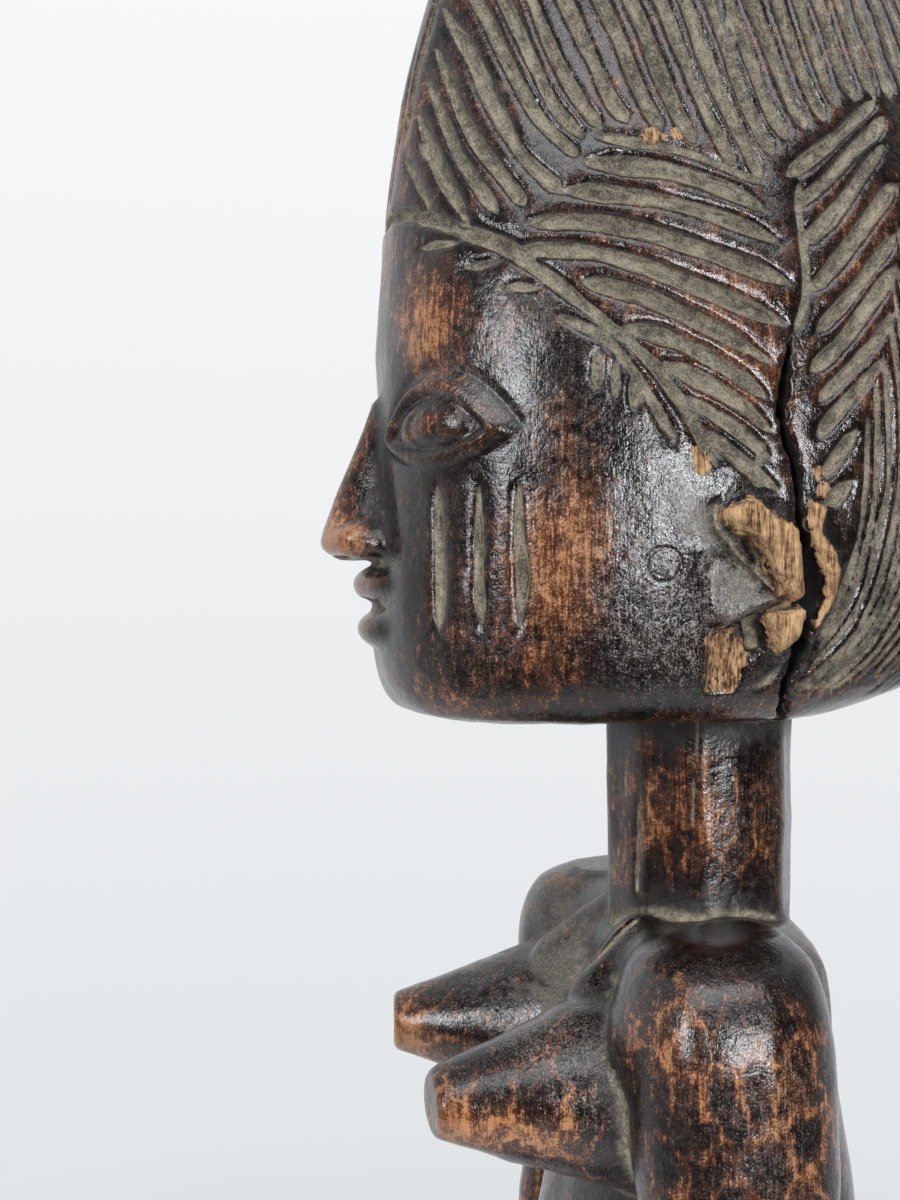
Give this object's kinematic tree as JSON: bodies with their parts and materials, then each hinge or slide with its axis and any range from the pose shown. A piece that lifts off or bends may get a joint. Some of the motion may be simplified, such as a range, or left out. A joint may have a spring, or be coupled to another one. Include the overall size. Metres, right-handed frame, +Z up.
{
  "type": "ibeji figure",
  "caption": "Standing female twin figure carved from one block of dark wood, with a tall grooved coiffure and long straight neck, on a low round base.",
  "frame": {"origin": "centre of the base's underside", "axes": "+Z up through the figure, -Y the way it faces, +X its left side"},
  "size_m": [0.0674, 0.0831, 0.288],
  "materials": {
    "wood": "worn glossy patina, grey dust in the carved lines"
  },
  "bodies": {
    "root": {"figure": "wood"}
  },
  "joints": []
}
